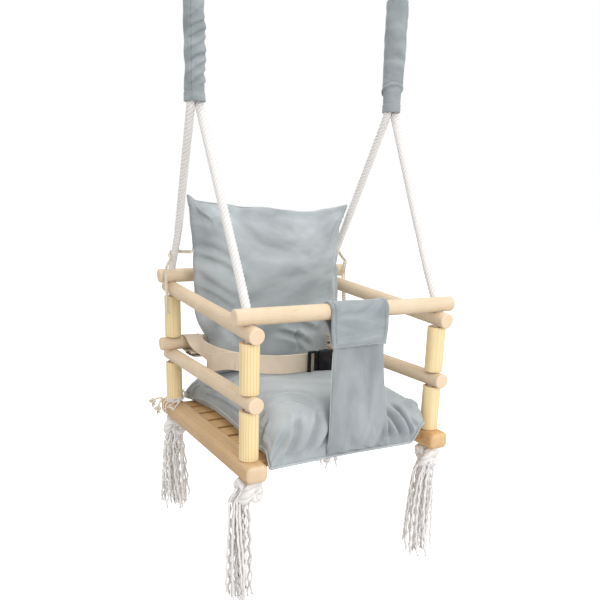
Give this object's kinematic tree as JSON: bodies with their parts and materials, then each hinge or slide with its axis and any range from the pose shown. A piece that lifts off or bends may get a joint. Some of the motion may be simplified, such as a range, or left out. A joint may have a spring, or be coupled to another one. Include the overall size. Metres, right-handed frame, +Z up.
{
  "type": "baby swing seat",
  "caption": "Hanging baby swing seat: round timber rails and posts threaded on cotton ropes, slatted base, cushions, crotch panel and buckled lap belt.",
  "frame": {"origin": "midway between the highest points inside the two hanging rings, where the hooks carry them", "axes": "+Z up along gravity, -Y towards the front bar, +X to the right as seen from the front"},
  "size_m": [0.4236, 0.403, 1.0799],
  "materials": {
    "rail_beech": "satin",
    "post_pine": "satin",
    "beam_wood": "satin",
    "slat_pine": "matte",
    "cotton_rope": "matte",
    "grey_velvet": "matte",
    "beige_webbing": "matte",
    "black_plastic": "satin",
    "brown_plastic": "satin",
    "ring_steel": "satin"
  },
  "bodies": {
    "rings": {"ring_left": "ring_steel", "ring_right": "ring_steel"},
    "seat": {"back_top_bar": "rail_beech", "back_mid_bar": "rail_beech", "side_top_rail_left": "rail_beech", "side_top_rail_right": "rail_beech", "side_mid_rail_left": "rail_beech", "side_mid_rail_right": "rail_beech", "lower_post_front_left": "post_pine", "lower_post_front_right": "post_pine", "lower_post_rear_left": "post_pine", "lower_post_rear_right": "post_pine", "upper_post_front_left": "post_pine", "upper_post_front_right": "post_pine", "upper_post_rear_left": "post_pine", "upper_post_rear_right": "post_pine", "base_beam_left": "beam_wood", "base_beam_right": "beam_wood", "slat_1": "slat_pine", "slat_2": "slat_pine", "slat_3": "slat_pine", "slat_4": "slat_pine", "slat_5": "slat_pine", "slat_6": "slat_pine", "slat_7": "slat_pine", "slat_8": "slat_pine", "knot_front_left": "cotton_rope", "knot_front_right": "cotton_rope", "knot_rear_left": "cotton_rope", "knot_rear_right": "cotton_rope", "tassel_front_left": "cotton_rope", "tassel_front_right": "cotton_rope", "tassel_rear_left": "cotton_rope", "tassel_rear_right": "cotton_rope", "rope_left": "cotton_rope", "rope_right": "cotton_rope", "eye_whipping_left": "cotton_rope", "eye_whipping_right": "cotton_rope", "pillow_tie_left": "cotton_rope", "pillow_tie_right": "cotton_rope", "seat_tie_left": "cotton_rope", "seat_tie_right": "cotton_rope", "sleeve_left": "grey_velvet", "sleeve_right": "grey_velvet", "seat_cushion": "grey_velvet", "back_pillow": "grey_velvet", "crotch_panel": "grey_velvet", "belt_right": "beige_webbing", "buckle_socket": "black_plastic", "strap_slide_left": "brown_plastic", "strap_slide_right": "brown_plastic"},
    "front_bar": {"front_bar": "rail_beech", "bar_loop": "grey_velvet"},
    "buckle_tongue": {"buckle_tongue": "black_plastic", "belt_left": "beige_webbing"}
  },
  "joints": [
    {"name": "swing", "type": "hinge", "parent": "rings", "child": "seat", "pos_m": [0, 0, -0.044], "axis": [1, 0, 0], "range_deg": [-35, 35]},
    {"name": "front_bar_lift", "type": "slide", "parent": "seat", "child": "front_bar", "axis": [0, 0.4925, 0.8703], "range_m": [0, 0.04]},
    {"name": "buckle_release", "type": "slide", "parent": "seat", "child": "buckle_tongue", "axis": [-1, 0, 0], "range_m": [0, 0.03], "deforming": ["belt_left"]}
  ]
}
